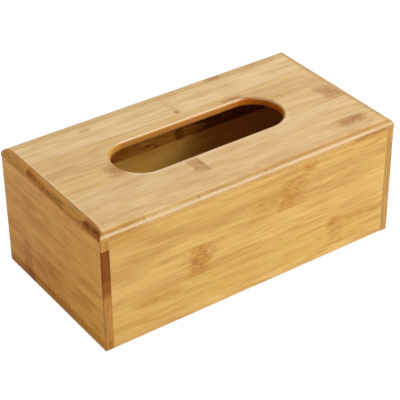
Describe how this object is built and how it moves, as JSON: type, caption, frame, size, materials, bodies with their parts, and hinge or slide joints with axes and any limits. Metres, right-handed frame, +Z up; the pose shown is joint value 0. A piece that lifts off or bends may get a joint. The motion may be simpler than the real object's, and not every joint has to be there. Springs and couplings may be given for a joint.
{
  "type": "tissue box cover",
  "caption": "Long bamboo tissue box cover with a round-ended tissue slot in its rounded-edge top and a base board that slides out of one end.",
  "frame": {"origin": "centre of the footprint, on the surface that the box stands on", "axes": "+X along the box's length, away from the end that the base slides out of; -Y is the front board; +Z up"},
  "size_m": [0.25, 0.132, 0.096],
  "materials": {
    "top_bamboo": "satin lacquer",
    "side_bamboo": "satin lacquer",
    "end_bamboo": "satin lacquer",
    "base_bamboo": "satin lacquer",
    "pull_bamboo": "satin lacquer"
  },
  "bodies": {
    "cover": {"top_strip_1": "top_bamboo", "top_strip_2": "top_bamboo", "top_strip_3_left": "top_bamboo", "top_strip_3_right": "top_bamboo", "top_strip_4": "top_bamboo", "top_strip_5": "top_bamboo", "top_strip_6": "top_bamboo", "front_strip_1": "side_bamboo", "front_strip_2": "side_bamboo", "front_strip_3": "side_bamboo", "front_strip_4": "side_bamboo", "front_strip_5": "side_bamboo", "back_strip_1": "side_bamboo", "back_strip_2": "side_bamboo", "back_strip_3": "side_bamboo", "back_strip_4": "side_bamboo", "back_strip_5": "side_bamboo", "left_end_strip_1": "end_bamboo", "left_end_strip_2": "end_bamboo", "left_end_strip_3": "end_bamboo", "left_end_strip_4": "end_bamboo", "right_end_strip_1": "end_bamboo", "right_end_strip_2": "end_bamboo", "right_end_strip_3": "end_bamboo", "right_end_strip_4": "end_bamboo", "right_end_strip_5": "end_bamboo"},
    "sliding_base": {"base_strip_1": "base_bamboo", "base_strip_2": "base_bamboo", "base_strip_3": "base_bamboo", "base_strip_4": "base_bamboo", "base_strip_5": "base_bamboo", "base_strip_6": "base_bamboo", "pull_strip": "pull_bamboo"}
  },
  "joints": [
    {"name": "base_slide", "type": "slide", "parent": "cover", "child": "sliding_base", "axis": [-1, 0, 0], "range_m": [0, 0.235]}
  ]
}
